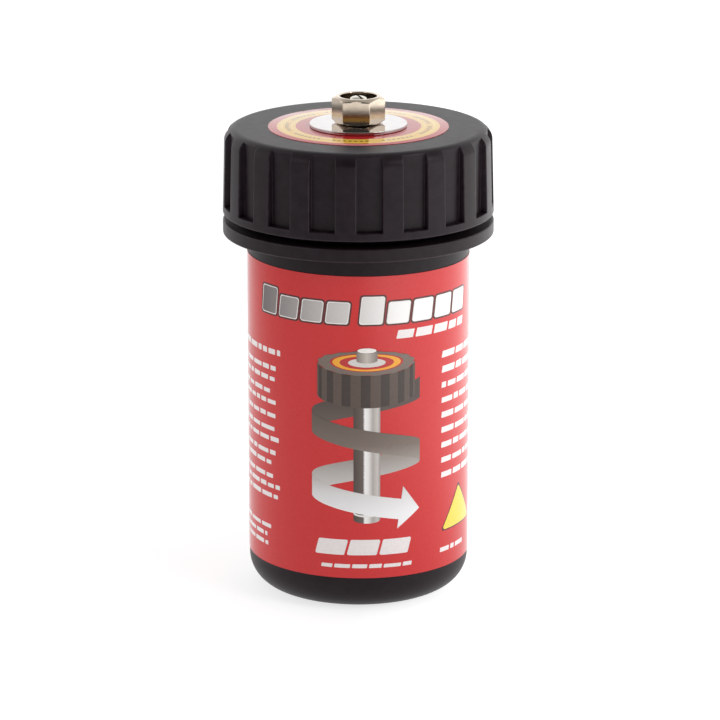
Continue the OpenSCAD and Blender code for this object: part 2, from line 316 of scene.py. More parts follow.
def cut(piece, tools):
    """Cuts tool objects out of a piece for good, and removes them."""
    for tool in tools:
        modifier = piece.modifiers.new("cut", "BOOLEAN")
        modifier.operation = "DIFFERENCE"
        modifier.solver = "EXACT"
        modifier.object = tool
    bpy.context.view_layer.update()
    evaluated = piece.evaluated_get(bpy.context.evaluated_depsgraph_get())
    mesh = bpy.data.meshes.new_from_object(evaluated)
    piece.modifiers.clear()
    old, piece.data = piece.data, mesh
    mesh.name = piece.name
    bpy.data.meshes.remove(old)
    for tool in tools:
        bpy.data.objects.remove(tool)


def tool_object(name, bm, place):
    """A shape for cut() to take away, moved to its place."""
    bmesh.ops.transform(bm, matrix=place, verts=bm.verts)
    bmesh.ops.recalc_face_normals(bm, faces=bm.faces)
    return new_object(name, new_mesh(name, bm))


def drill(radius, start, end, steps, place):
    """A round tool between two heights."""
    bm = bmesh.new()
    turn_profile(bm, [(0, start), (radius, start), (radius, end), (0, end)], circle_angles(steps))
    bmesh.ops.remove_doubles(bm, verts=bm.verts, dist=WELD)
    return tool_object("drill", bm, place)


def along_y(height):
    """Lays a piece that was turned about Z along +Y, at a height above the base."""
    return Matrix.Translation((0, 0, height * MM)) @ Matrix.Rotation(-math.pi / 2, 4, "X")


# ---- materials
def srgb(*levels):
    """Linear colour from levels of 0 to 255."""
    linear = [x / 255 / 12.92 if x <= 10 else ((x / 255 + 0.055) / 1.055) ** 2.4 for x in levels]
    return (*linear, 1.0)


class Look:
    """A node material around one Principled shader."""

    def __init__(self, name, **inputs):
        self.material = bpy.data.materials.new(name)
        self.material.use_nodes = True
        self.tree = self.material.node_tree
        self.shader = self.tree.nodes["Principled BSDF"]
        self.place = self.node("ShaderNodeTexCoord").outputs["Object"]
        for key, value in inputs.items():
            self.shader.inputs[key.replace("_", " ")].default_value = value

    def node(self, kind, **settings):
        made = self.tree.nodes.new(kind)
        for key, value in settings.items():
            setattr(made, key, value)
        return made

    def feed(self, socket, value):
        """Sets a socket, or links it if the value is another socket."""
        if isinstance(value, bpy.types.NodeSocket):
            self.tree.links.new(value, socket)
        else:
            socket.default_value = value

    def math(self, operation, a, b=0.0):
        made = self.node("ShaderNodeMath", operation=operation)
        for socket, value in zip(made.inputs, (a, b)):
            self.feed(socket, value)
        return made.outputs[0]

    def noise(self, size, detail=3.0, stretch=(1, 1, 1)):
        """Noise whose lumps are about size millimetres, longer along a stretched axis."""
        mapping = self.node("ShaderNodeMapping")
        mapping.inputs["Scale"].default_value = [1 / (size * MM * s) for s in stretch]
        self.feed(mapping.inputs["Vector"], self.place)
        made = self.node("ShaderNodeTexNoise")
        self.feed(made.inputs["Vector"], mapping.outputs["Vector"])
        made.inputs["Scale"].default_value = 1.0
        made.inputs["Detail"].default_value = detail
        made.inputs["Roughness"].default_value = 0.55
        return made.outputs["Fac"]

    def spread(self, value, low_out, high_out, low_in=0.35, high_in=0.65):
        made = self.node("ShaderNodeMapRange")
        for socket, x in zip(made.inputs, (value, low_in, high_in, low_out, high_out)):
            self.feed(socket, x)
        return made.outputs["Result"]

    def mix(self, share, a, b):
        made = self.node("ShaderNodeMix", data_type="RGBA")
        self.feed(made.inputs["Factor"], share)
        self.feed(made.inputs[6], a)
        self.feed(made.inputs[7], b)
        return made.outputs[2]

    def ramp(self, value, stops):
        made = self.node("ShaderNodeValToRGB")
        made.color_ramp.interpolation = "LINEAR"
        elements = made.color_ramp.elements
        elements[0].position, elements[0].color = stops[0]
        elements[1].position, elements[1].color = stops[-1]
        for position, color in stops[1:-1]:
            elements.new(position).color = color
        self.feed(made.inputs["Fac"], value)
        return made.outputs["Color"]

    def attribute(self, name):
        return self.node("ShaderNodeAttribute", attribute_name=name).outputs["Fac"]

    def axes(self):
        made = self.node("ShaderNodeSeparateXYZ")
        self.feed(made.inputs[0], self.place)
        return made.outputs

    def bumps(self, *layers):
        """Bump from layers of (height, depth in millimetres), the coarsest first."""
        normal = None
        for height, depth in layers:
            made = self.node("ShaderNodeBump")
            made.inputs["Strength"].default_value = 1.0
            made.inputs["Distance"].default_value = depth * MM
            self.feed(made.inputs["Height"], height)
            if normal is not None:
                self.feed(made.inputs["Normal"], normal)
            normal = made.outputs["Normal"]
        self.feed(self.shader.inputs["Normal"], normal)

    def color(self, value):
        self.feed(self.shader.inputs["Base Color"], value)

    def rough(self, value):
        self.feed(self.shader.inputs["Roughness"], value)


def nylon(name, base, paler_wear_and_sheen, roughness):
    """Black moulded nylon: fine grain, faint flow mottling, edges a little paler and smoother, partly
    rubbed and partly a painted highlight.
    """
    look = Look(name, Specular_IOR_Level=0.19)
    grain = look.noise(0.45, detail=2)
    mottle = look.noise(5, detail=5)
    # Paler edges: partly rubbed, partly a painted highlight along the rib edges.
    edge_wear_and_sheen = look.math("MULTIPLY", look.attribute("edge"), look.spread(look.noise(3), 0.2, 0.8))
    tone = look.mix(look.spread(mottle, 0.0, 0.12), base, paler_wear_and_sheen)
    look.color(look.mix(look.math("MULTIPLY", edge_wear_and_sheen, 0.5), tone, paler_wear_and_sheen))
    scuffed = look.spread(mottle, roughness - 0.015, roughness + 0.02)
    look.rough(look.math("SUBTRACT", scuffed, look.math("MULTIPLY", edge_wear_and_sheen, 0.06)))
    look.bumps((mottle, 0.008), (grain, 0.018))
    return look.material


def film(name, fill, roughness=0.13):
    """Glossy printed film, with the slight ripple of a wrapped label. fill(look) gives its colour."""
    look = Look(name, Specular_IOR_Level=0.46)
    look.color(fill(look))
    look.rough(look.spread(look.noise(14), roughness - 0.02, roughness + 0.03))
    look.bumps((look.noise(16, detail=2, stretch=(1, 1, 2.2)), 0.03), (look.noise(0.8), 0.001))
    return look.material


def ink(name, *levels, speckle=0.06, **options):
    """Film in a printed colour, with the faint unevenness of its ink."""
    tone = srgb(*levels)
    paler = tuple(min(1.0, c * (1 + speckle) + 0.004) for c in tone[:3]) + (1.0,)

    def fill(look):
        return look.mix(look.spread(look.noise(1.2, detail=4), 0.0, 1.0), tone, paler)

    return film(name, fill, **options)


def graded_ink(name, attribute, start, end, *stops):
    """Film in a shade that runs between two places along the label ("along") or up it ("above").
    Each stop is a share of the way and the three levels of its colour."""
    def fill(look):
        where = look.spread(look.attribute(attribute), 0.0, 1.0, start, end)
        grain = look.math("MULTIPLY", look.spread(look.noise(0.6), -1.0, 1.0), 0.012)
        return look.ramp(look.math("ADD", where, grain), [(x, srgb(*levels)) for x, *levels in stops])

    return film(name, fill)


def metal(name, tint, roughness, brushed, depth=0.004, mottle=0.6):
    """Metal with fine tool marks that run along the axes in which brushed is long."""
    look = Look(name, Metallic=1.0)
    marks = look.noise(0.12, detail=2, stretch=brushed)
    cloud = look.noise(6, detail=4)
    darker = tuple(c * 0.82 for c in tint[:3]) + (1.0,)
    look.color(look.mix(look.spread(cloud, 0.0, mottle), tint, darker))
    look.rough(look.spread(marks, roughness - 0.03, roughness + 0.05))
    look.bumps((marks, depth))
    return look.material


def rubber():
    look = Look("moulded_rubber", Specular_IOR_Level=0.35)
    grain = look.noise(0.3, detail=3)
    tone = look.spread(look.noise(4), 0.0, 0.5)
    look.color(look.mix(tone, srgb(22, 22, 23), srgb(44, 44, 45)))
    look.rough(look.spread(grain, 0.5, 0.66))
    look.bumps((grain, 0.01))
    return look.material


def sticker_rings():
    """Print of the cap's round sticker: red, yellow with a ticked ring, red."""
    look = Look("sticker_print", Specular_IOR_Level=0.6)
    x, y, _ = look.axes()
    radius = look.math("SQRT", look.math("ADD", look.math("MULTIPLY", x, x), look.math("MULTIPLY", y, y)))
    share = look.spread(radius, 0.0, 1.0, 20 * MM, 45 * MM)
    edge = 0.004
    red, deep = srgb(190, 28, 34), srgb(150, 14, 20)
    gold, pale = srgb(240, 186, 66), srgb(246, 212, 104)
    stops = [(0.0, red), (0.38, red), (0.38 + edge, gold), (0.47, pale), (0.47 + edge, gold),
             (0.62, gold), (0.62 + edge, pale), (0.735, gold), (0.735 + edge, red), (0.955, red),
             (0.96, deep)]
    rings = look.ramp(share, stops)
    angle = look.math("ARCTAN2", y, x)
    ticks, groups = 81, 9
    tick = look.math("LESS_THAN", look.math("FRACT", look.math("MULTIPLY", angle, ticks / TURN)), 0.55)
    band = look.math("MULTIPLY", look.math("GREATER_THAN", share, 0.51),
                     look.math("LESS_THAN", share, 0.585))
    gap = look.math("GREATER_THAN", look.math("FRACT", look.math("MULTIPLY", angle, groups / TURN)), 0.2)
    mark = look.math("MULTIPLY", look.math("MULTIPLY", tick, band), gap)
    look.color(look.mix(look.math("MULTIPLY", mark, 0.8), rings, srgb(60, 66, 20)))
    look.rough(look.spread(look.noise(9), 0.07, 0.12))
    look.bumps((look.noise(12, detail=2), 0.02))
    return look.material


# The second colour of each nylon is its paler edge tone, partly rubbed and partly a painted highlight.
BLACK = nylon("canister_nylon", srgb(23, 12, 17), srgb(60, 50, 56), 0.42)
CAP_BLACK = nylon("cap_nylon", srgb(23, 12, 18), srgb(64, 54, 62), 0.40)
SHEATH_BLACK = nylon("sheath_nylon", srgb(38, 38, 40), srgb(80, 80, 84), 0.45)
NICKEL = metal("nickel_plate", srgb(209, 194, 176), 0.13, (6, 6, 0.6))
CHROME = metal("polished_washer", srgb(203, 199, 199), 0.06, (1, 1, 1), depth=0.0008)
SCREW_NICKEL = metal("screw_plate", srgb(226, 220, 208), 0.12, (1, 1, 1), depth=0.002)
BRASS = metal("turned_brass", srgb(206, 168, 98), 0.22, (6, 6, 0.5), depth=0.006)
PORT_BRASS = metal("port_brass", srgb(202, 166, 104), 0.24, (6, 0.5, 6), depth=0.006)
STEEL = metal("drawn_stainless", srgb(168, 169, 173), 0.22, (0.6, 0.6, 30), depth=0.003, mottle=0.15)
MAGNET = metal("magnet_plate", srgb(178, 178, 184), 0.28, (1, 1, 1))
POLE = metal("pole_steel", srgb(120, 120, 124), 0.35, (4, 4, 0.5))
RUBBER = rubber()


# ---- canister
def canister():
    """Wall, floor, flange and threaded neck in one moulding, with the holes of the two ports."""
    bm = bmesh.new()
    angles = [FRONT + a for a in circle_angles(192)]
    groove = 1.9
    thread = (FLANGE_TOP + 3.2, MOUTH_Z - 5.5)
    outside = rounded([
        (0, 0, 0), (24, 0, 0.3), (24.6, 1, 0.3), (32.4, 1, 0.3), (33, 0, 0.3), (BODY_R, 0, BASE_ROUND),
        (BODY_R, FLANGE_Z, 1.0), (FLANGE_R, FLANGE_Z, 0.7), (FLANGE_R, FLANGE_TOP, 0.6),
        (NECK_R, FLANGE_TOP, 0.6), (NECK_R, thread[0], 0),
    ])
    inside = rounded([
        (NECK_R, thread[1], 0), (NECK_R, MOUTH_Z, 0.9), (SEAL_R + groove, MOUTH_Z, 0.25),
        (SEAL_R + groove, MOUTH_Z - 2.7, 0.3), (SEAL_R - groove, MOUTH_Z - 2.7, 0.3),
        (SEAL_R - groove, MOUTH_Z, 0.25), (INNER_R, MOUTH_Z, 0.5), (INNER_R, FLOOR, FLOOR_ROUND),
        (21, FLOOR, 0.8), (20.5, FLOOR + 6, 0.5), (18.5, FLOOR + 6, 0.5), (18, FLOOR, 0.5), (0, FLOOR, 0),
    ])
    turn_profile(bm, outside, angles)
    add_thread(bm, *thread, THREAD_PITCH, FLANGE_TOP + 7, NECK_R, NECK_CREST_R, (1.2, 3.2),
               angles, 2.0)
    turn_profile(bm, inside, angles)
    piece = make("canister_shell", bm, BLACK, "canister", "canister_plastic", ("canister", "neck_ring"))
    cut(piece, [drill(PORT_BORE_R + 0.5, INNER_R - 10, BODY_R + 8, 64, along_y(z))
                for z in PORT_HEIGHTS.values()])


def boss(node, z):
    """Flared boss that grows out of the canister's back and holds a port."""
    flare, sunk, steps = 3.0, 0.4, 96
    rows = [(INSERT_R, 0, -sunk), (BOSS_R + flare + 0.6, 0, -sunk)]
    for k in range(9):
        a = math.pi / 2 * k / 8
        rows.append((BOSS_R + flare * (1 - math.sin(a)), 0, flare * (1 - math.cos(a)) - 0.05))
    rows += [(r, y, None) for r, y in rounded([
        (BOSS_R, BODY_R + flare + 1.2, 0), (BOSS_R, BOSS_Y, 1.2), (INSERT_R, BOSS_Y, 0.4),
        (INSERT_R, BODY_R + 1, 0)])]
    points = []
    for r, y, lift in rows:
        line = []
        for a in circle_angles(steps):
            x, up = r * math.cos(a), r * math.sin(a)
            on_body = math.sqrt(BODY_R ** 2 - x ** 2)
            line.append((x, y if lift is None else on_body + lift, z + up))
        points.append(line)
    bm = bmesh.new()
    add_grid(bm, points, closed=True)
    make(node + "_flared", bm, BLACK, "canister", "canister_plastic", (node,))


def port(node, z):
    """Brass spigot: plain insert, hexagon collar and a helical pipe thread, bored through."""
    bm = bmesh.new()
    angles = hexagon_angles(0.0)
    hex_end = BOSS_Y + 6
    half = PORT_HEX_AF / 2
    thread = (hex_end + 1.6, PORT_END - 1.6)

    def collar(r, y, j):
        if r <= half - 2:
            return r
        cone = half - 0.4 + (hex_end - y) / math.tan(math.radians(30))
        return least(hexagon_radius(PORT_HEX_AF, angles[j], 0.9), cone, 0.3)

    drops = (3, 2.2, 1.6, 1.2, 0.8, 0.4, 0.12, 0)
    flank = [(half * 2, y) for y in (BOSS_Y, BOSS_Y + 0.2, *(hex_end - d for d in drops))]
    turn_profile(bm, rounded([(PORT_BORE_R, thread[1] - 3, 0), (PORT_BORE_R, INSERT_Y, 0.4),
                              (INSERT_R - 0.08, INSERT_Y, 0.4), (INSERT_R - 0.08, BOSS_Y, 0)]), angles)
    turn_profile(bm, [(INSERT_R - 0.08, BOSS_Y)] + flank + [(half - 3, hex_end)], angles, shape=collar)
    turn_profile(bm, rounded([(half - 3, hex_end, 0), (PORT_ROOT_R - 0.5, hex_end, 0.4),
                              (PORT_ROOT_R - 0.5, thread[0] - 0.4, 0.2),
                              (PORT_ROOT_R, thread[0], 0)]), angles)
    add_thread(bm, *thread, PORT_PITCH, hex_end + 3, PORT_ROOT_R, PORT_R, (0.55, 2.1), angles, 0.9)
    turn_profile(bm, rounded([(PORT_ROOT_R, thread[1], 0), (PORT_ROOT_R, PORT_END, 0.9),
                              (PORT_BORE_R, PORT_END, 0.6), (PORT_BORE_R, thread[1] - 3, 0)]), angles)
    make(node + "_spigot", bm, PORT_BRASS, "canister", "port_metal", (node,), sharp=32, along=along_y(z))


# ---- cap
def grip_columns():
    """Columns round the cap, as (angle, share of the recess's depth). Each grip has a rib with
    rounded edges, radial walls and a floor with rounded corners."""
    half = GRIP_PITCH * GRIP_SHARE / 2
    depth = CAP_R - GRIP_R
    edge, corner = 0.55, 0.35
    columns = []
    for k in range(GRIP_COUNT):
        middle = GRIP_PHASE + (k + 0.5) * GRIP_PITCH
        wall = []
        for i in range(4):
            a = math.pi / 2 * i / 4
            wall.append((half + edge / CAP_R * (1 - math.sin(a)), edge * (1 - math.cos(a)) / depth))
        wall.append((half, edge / depth))
        wall.append((half, 1 - corner / depth))
        for i in range(1, 4):
            a = math.pi / 2 * i / 3
            wall.append((half - corner / GRIP_R * (1 - math.cos(a)),
                         1 - corner * (1 - math.sin(a)) / depth))
        wall.append((half - 2 * corner / GRIP_R, 1))
        inner = [(half * t, 1) for t in (0.66, 0.33)]
        outer = GRIP_PITCH - 2 * half
        beside = half + (edge + 0.25) / CAP_R
        columns += [(middle - a, 0) for a in (half + outer / 2, half + outer / 4, beside)]
        columns += [(middle - a, d) for a, d in wall]
        columns += [(middle - a, d) for a, d in inner] + [(middle, 1)]
        columns += [(middle + a, d) for a, d in inner[::-1]]
        columns += [(middle + a, d) for a, d in wall[::-1]]
        columns += [(middle + a, 0) for a in (beside, half + outer / 4)]
    return columns


def cap():
    """Cap with grip ribs, rounded top edge, threaded skirt, sealing land and webs under its plate."""
    columns = grip_columns()
    angles = [a for a, _ in columns]
    top_r = CAP_R - CAP_DRAFT
    ledge = CAP_Z + GRIP_BAND
    thread = (CAP_Z + 2.2, LAND_Z - 3.2)
    side = [ledge + d for d in (-0.9, -0.4, -0.12, 0, 0.001, 0.12, 0.4, 0.9)]
    side += list(np.linspace(ledge + 6, CAP_TOP - CAP_ROUND - 1, 5))
    lean = CAP_DRAFT / (CAP_TOP - CAP_ROUND - CAP_Z)
    skin = rounded([(CAP_BORE_R + 0.8, CAP_Z, 0), (CAP_R, CAP_Z, 0.6), (CAP_R, CAP_Z + 1, 0)])
    skin += [(CAP_R - lean * (z - CAP_Z), z) for z in side]
    skin += [(top_r - CAP_ROUND * (1 - math.cos(a)), CAP_TOP - CAP_ROUND * (1 - math.sin(a)))
             for a in np.radians(np.linspace(0, 90, 25))]
    skin.append((STICKER_R + 2, CAP_TOP))
    reach = {ledge - 0.12: 0.06, ledge: 0.3, ledge + 0.001: CAP_R - GRIP_R - 0.35,
             ledge + 0.12: CAP_R - GRIP_R - 0.1}

    def recess(r, z, j):
        if z < ledge - 0.3 or r < GRIP_R - 2.5:
            return r
        depth = r - least(GRIP_R, r, 0.5)
        return r - columns[j][1] * min(reach.get(z, depth), depth)

    bm = bmesh.new()
    turn_profile(bm, skin, angles, shape=recess)
    seal_in = SEAL_R - 2.8
    turn_profile(bm, rounded([(STICKER_R + 2, CAP_TOP, 0), (HOLE_R, CAP_TOP, 0.3), (HOLE_R, PLATE_Z, 0.3),
                              (seal_in, PLATE_Z, 0.5), (seal_in, LAND_Z, 0.4), (CAP_BORE_R, LAND_Z, 0.5),
                              (CAP_BORE_R, thread[1], 0)]), angles)
    add_thread(bm, *thread, THREAD_PITCH, FLANGE_TOP + 10 + THREAD_PITCH * (angles[0] - FRONT) / TURN,
               CAP_BORE_R, CAP_CREST_R, (1.2, 3.2), angles, 1.6)
    turn_profile(bm, rounded([(CAP_BORE_R, thread[0], 0), (CAP_BORE_R, CAP_Z + 0.8, 0.2),
                              (CAP_BORE_R + 0.8, CAP_Z, 0)]), angles)
    for k in range(8):
        add_web(bm, (k + 0.5) * TURN / 8, 23.0, seal_in + 0.4)
    make("cap_moulding", bm, CAP_BLACK, "cap", "cap_plastic", ("cap",))


def add_web(bm, angle, start, end):
    """One stiffening web under the cap's plate, with a rounded lower edge."""
    section = rounded([(-1.5, PLATE_Z + 0.4, 0), (-1.5, LAND_Z + 0.8, 0.6), (1.5, LAND_Z + 0.8, 0.6),
                       (1.5, PLATE_Z + 0.4, 0)])
    rings = []
    for r in (start, end):
        rings.append([bm.verts.new(Vector((r * math.cos(angle) - x * math.sin(angle),
                                           r * math.sin(angle) + x * math.cos(angle), z)) * MM)
                      for x, z in section])
    count = len(section)
    for i in range(count):
        j = (i + 1) % count
        bm.faces.new((rings[0][i], rings[0][j], rings[1][j], rings[1][i]))
    bm.faces.new(rings[0][::-1])
    bm.faces.new(rings[1])


# ---- bleed fitting
def bleed_fitting():
    """Hexagon with chamfered ends and an open mouth, on a threaded hollow shank."""
    bm = bmesh.new()
    angles = hexagon_angles(HEX_TURN)
    end_r = HEX_AF / 2 * HEX_END
    slope = math.tan(math.radians(30))
    drops = (0, 0.08, 0.2, 0.4, 0.6, 0.8, 1.0, 1.2, 1.4, 1.6, 2.0, 3.0)
    heights = [HEX_Z + d for d in drops] + [HEX_TOP - d for d in drops[::-1]]

    def hexagon(r, z, j):
        if r < end_r + 0.01:
            return r
        cone = end_r + (min(HEX_TOP - z, z - HEX_Z)) / slope
        return least(hexagon_radius(HEX_AF, angles[j] - HEX_TURN, 0.5), cone + 0.06, 0.22)

    thread = (SHANK_Z + 0.6, HEX_Z - 8.5)
    turn_profile(bm, [(SHANK_R, HEX_Z)] + [(HEX_AF, z) for z in heights] + [(end_r - 0.4, HEX_TOP)],
                 angles, shape=hexagon)
    turn_profile(bm, rounded([(end_r - 0.4, HEX_TOP, 0), (MOUTH_R, HEX_TOP, 0.35), (MOUTH_R, WELL_Z, 0.3),
                              (SCREW_SHANK_R + 0.3, WELL_Z, 0.2), (SCREW_SHANK_R + 0.3, WEB_Z, 0.2),
                              (6, WEB_Z, 0.3), (6, SHANK_Z, 0.3), (SHANK_R - 0.8, SHANK_Z, 0.3),
                              (SHANK_R - 0.8, thread[0], 0)]), angles)
    add_thread(bm, *thread, 2.0, SHANK_Z + 2, SHANK_R - 0.8, SHANK_R, (0.5, 1.6), angles, 0.8)
    turn_profile(bm, rounded([(SHANK_R - 0.8, thread[1], 0), (SHANK_R, thread[1] + 0.8, 0.2),
                              (SHANK_R, HEX_Z, 0)]), angles)
    make("bleed_hexagon", bm, NICKEL, "cap", "fitting_metal", ("bleed_fitting",), sharp=30)


def bleed_screw():
    """Screw with a domed, slotted head."""
    dome = 1.5
    head_z = SCREW_TOP - 6.4
    corners = [(0, WEB_Z - 2, 0), (SCREW_SHANK_R, WEB_Z - 2, 0.8), (SCREW_SHANK_R, head_z, 0.2),
               (SCREW_R, head_z, 0.3), (SCREW_R, SCREW_TOP - dome, 0)]
    profile = rounded(corners)
    profile += [(SCREW_R * math.cos(a), SCREW_TOP - dome + dome * math.sin(a))
                for a in [math.pi / 2 * k / 10 for k in range(1, 10)]] + [(0, SCREW_TOP)]
    bm = bmesh.new()
    turn_profile(bm, profile, circle_angles(72))
    piece = make("bleed_screw_slotted", bm, SCREW_NICKEL, "bleed_screw", "screw_metal", ("bleed_screw",))
    slot = bmesh.new()
    bmesh.ops.create_cube(slot, size=1.0)
    scale = Matrix.Diagonal((2 * SCREW_R + 2, 1.2, 4, 1))
    place = Matrix.Translation((0, 0, SCREW_TOP)) @ Matrix.Rotation(SLOT_TURN, 4, "Z") @ scale
    cut(piece, [tool_object("slot", slot, Matrix.Scale(MM, 4) @ place)])
    bevel = piece.modifiers.new("slot_edges", "BEVEL")
    bevel.width, bevel.segments, bevel.limit_method = 0.12 * MM, 2, "ANGLE"
    bevel.angle_limit = math.radians(50)
    piece.data.shade_smooth()
    piece.data.set_sharp_from_angle(angle=math.radians(38))


def cord_ring(name, ring_r, cord, z, body, node):
    """Moulded O-ring, with the faint flash line of its mould."""
    outline = []
    for k in range(24):
        a = TURN * k / 24
        flash = 0.03 if k % 12 == 0 else 0.0
        outline.append((ring_r + (cord + flash) * math.cos(a), z + cord * math.sin(a)))
    bm = bmesh.new()
    turn_profile(bm, outline, circle_angles(144), closed=True)
    make(name, bm, RUBBER, body, "seal_rubber", (node,), sharp=60)


def cap_stack():
    """Sticker, gasket, washer, fitting and screw on the cap."""
    z = CAP_TOP
    lathe("cap_sticker_print", [(WASHER_R - 0.5, z, 0), (STICKER_R, z, 0), (STICKER_R, z + 0.2, 0.08),
                                (WASHER_R - 0.5, z + 0.2, 0)],
          sticker_rings(), "cap", "sticker_film", ("cap_sticker",), steps=192)
    lathe("cap_gasket_ring", [(HOLE_R, z, 0), (WASHER_R - 0.9, z, 0.12), (WASHER_R - 0.9, WASHER_Z, 0.12),
                              (HOLE_R, WASHER_Z, 0)],
          RUBBER, "cap", "seal_rubber", ("cap_gasket",), steps=160)
    lathe("clamp_washer_disc", [(HOLE_R, WASHER_Z, 0), (WASHER_R, WASHER_Z, 0.2), (WASHER_R, HEX_Z, 0.2),
                                (HOLE_R, HEX_Z, 0.3)],
          CHROME, "cap", "washer_steel", ("clamp_washer",), steps=192)
    bleed_fitting()
    bleed_screw()
    cord_ring("bleed_seal_ring", 4.1, 0.75, midpoint("bleed_seal", 2), "bleed_seal", "bleed_seal")


# ---- sheath and core
def sheath():
    tube_z, tube_top = low("sheath_tube", 2), high("sheath_tube", 2)
    r = high("sheath_tube", 0)
    inner = r - 1
    seat = r + 0.05
    lathe("sheath_tube_drawn",
          [(inner, tube_z, 0.2), (r, tube_z, 0.3), (r, tube_top, 0.3), (inner, tube_top, 0.3)],
          STEEL, "sheath", "stainless", ("sheath_tube",))
    z, top, collar_r = low("sheath_collar", 2), high("sheath_collar", 2), high("sheath_collar", 0)
    lathe("sheath_collar_ring", [
        (seat, z, 0), (seat + 3.5, z, 0.8), (seat + 3.5, z + 8, 2.0), (collar_r - 1.5, z + 11, 0.8),
        (collar_r, z + 12.5, 0.8), (collar_r, top, 1.0), (inner, top, 0.8), (inner, tube_top, 0),
        (seat, tube_top, 0)],
        SHEATH_BLACK, "sheath", "sheath_plastic", ("sheath_collar",))
    z, top, foot_r = low("sheath_foot", 2), high("sheath_foot", 2), high("sheath_foot", 0)
    lathe("sheath_foot_plug", [
        (0, z, 0), (6, z, 0.3), (7, z + 0.8, 0.3), (foot_r - 5, z + 0.8, 0.3), (foot_r - 4, z, 0.3),
        (foot_r - 2, z, 1.0), (foot_r, z + 2, 1.0), (foot_r, top, 0.6), (seat, top, 0.2),
        (seat, tube_z, 0), (0, tube_z, 0)],
        SHEATH_BLACK, "sheath", "sheath_plastic", ("sheath_foot",), closed=False)


def core():
    """Brass head with an O-ring groove, thin tube and foot. The stack inside keeps its CAD shapes."""
    r = high("core_tube", 0)
    inner = r - 0.8
    tube_z, tube_top = low("core_tube", 2), high("core_tube", 2)
    lathe("core_tube_drawn",
          [(inner, tube_z, 0), (r, tube_z, 0.15), (r, tube_top, 0.15), (inner, tube_top, 0)],
          STEEL, "cap", "stainless", ("core_tube",))
    z, top = low("core_foot", 2), high("core_foot", 2)
    lathe("core_foot_plug", [
        (0, z + 0.6, 0), (4, z + 0.6, 0.5), (4.8, z, 0.3), (r, z, 0.9), (r, tube_z, 0),
        (inner - 0.05, tube_z, 0), (inner - 0.05, top, 0.5), (0, top, 0)],
        STEEL, "cap", "stainless", ("core_foot",), closed=False)
    z, top, flange_r = low("core_head", 2), high("core_head", 2), high("core_head", 0)
    ring_z = midpoint("core_ring", 2)
    chamber = SHANK_Z - 7
    piece = lathe("core_head_turned", [
        (0, z, 0), (inner - 0.05, z, 0.4), (inner - 0.05, tube_top, 0), (r, tube_top, 0.15),
        (r, ring_z - 1.05, 0.15), (r - 1.4, ring_z - 1.05, 0.2), (r - 1.4, ring_z + 1.05, 0.2),
        (r, ring_z + 1.05, 0.15), (r, top - 3, 0.5), (flange_r, top - 3, 0.4), (flange_r, top, 0.4),
        (SHANK_R + 0.2, top, 0.3), (SHANK_R + 0.2, chamber, 0.4), (0, chamber, 0)],
        BRASS, "cap", "core_brass", ("core_head",), closed=False)
    cut(piece, [drill(1.6, -r - 2, r + 2, 32, Matrix.Rotation(turn, 4, "Z") @ along_y(chamber + 4))
                for turn in (0, math.pi / 2)])
    cord_ring("core_ring_seal", r - 0.5, 0.75, ring_z, "core_ring", "core_ring")
    cord_ring("mouth_seal_ring", SEAL_R, 1.6, midpoint("mouth_seal", 2), "mouth_seal", "mouth_seal")
    for name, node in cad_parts.items():
        look = {"magnet": MAGNET, "pole_p": POLE, "stack_": RUBBER}.get(name[:6])
        if look:
            node.data.materials.clear()
            node.data.materials.append(look)


# ---- label
def wrap(name, outlines, material, layer=0, base=LABEL_R - 0.01, nodes=()):
    """Film cut to outlines (along the label, above the base) and wrapped round the canister. Its
    outside lies that many printed layers above the label's face."""
    flat = bmesh.new()
    for outline in outlines:
        flat.faces.new([flat.verts.new((s, z, 0)) for s, z in outline])
    bmesh.ops.triangulate(flat, faces=flat.faces)
    ends = [s for outline in outlines for s, _ in outline]
    for k in range(math.ceil(min(ends) / STRIP), math.ceil(max(ends) / STRIP)):
        geometry = flat.verts[:] + flat.edges[:] + flat.faces[:]
        bmesh.ops.bisect_plane(flat, geom=geometry, plane_co=(k * STRIP, 0, 0), plane_no=(1, 0, 0),
                               dist=1e-4)
    bm = bmesh.new()
    places = [bm.verts.layers.float.new(n) for n in ("along", "above")]
    sides = []
    for r in (base, LABEL_R + layer * FILM):
        placed = {}
        for v in flat.verts:
            s, z = v.co.x, v.co.y
            a = FRONT + s / LABEL_R
            placed[v] = bm.verts.new(Vector((r * math.cos(a), r * math.sin(a), z + LABEL_SKEW * s)) * MM)
            placed[v][places[0]], placed[v][places[1]] = s, z
        sides.append(placed)
    inner, outer = sides
    for face in flat.faces:
        bm.faces.new([outer[v] for v in face.verts])
        bm.faces.new([inner[v] for v in reversed(face.verts)])
    for edge in flat.edges:
        if len(edge.link_faces) == 1:
            a, b = edge.verts
            bm.faces.new((inner[a], inner[b], outer[b], outer[a]))
    flat.free()
    return make(name, bm, material, "canister", "label_film", nodes, sharp=40)


def box_outline(s0, s1, z0, z1, lean=0.0, radius=0.0):
    """A bar from s0 to s1, whose top leans to the right, with rounded corners."""
    corners = [(s0, z0, radius), (s1, z0, radius), (s1 + lean, z1, radius), (s0 + lean, z1, radius)]
    return rounded(corners, closed=True, support=99)


def ellipse(s, z, rx, rz, start=0.0, end=360.0, steps=40):
    return [(s + rx * math.cos(math.radians(a)), z + rz * math.sin(math.radians(a)))
            for a in np.linspace(start, end, steps, endpoint=abs(end - start) < 360)]


def word_bars(rng, start, end, z, height, gap=1.3, lean=0.0, words=(3.0, 11.0)):
    """A line of print, as blank bars of uneven length."""
    bars, s = [], start
    while s < end - 1.5:
        length = min(rng.uniform(*words), end - s)
        bars.append(box_outline(s, s + length, z, z + height * rng.uniform(0.85, 1.0), lean, 0.3))
        s += length + gap
    return bars


WHITE_INK = ink("white_ink", 228, 220, 219)


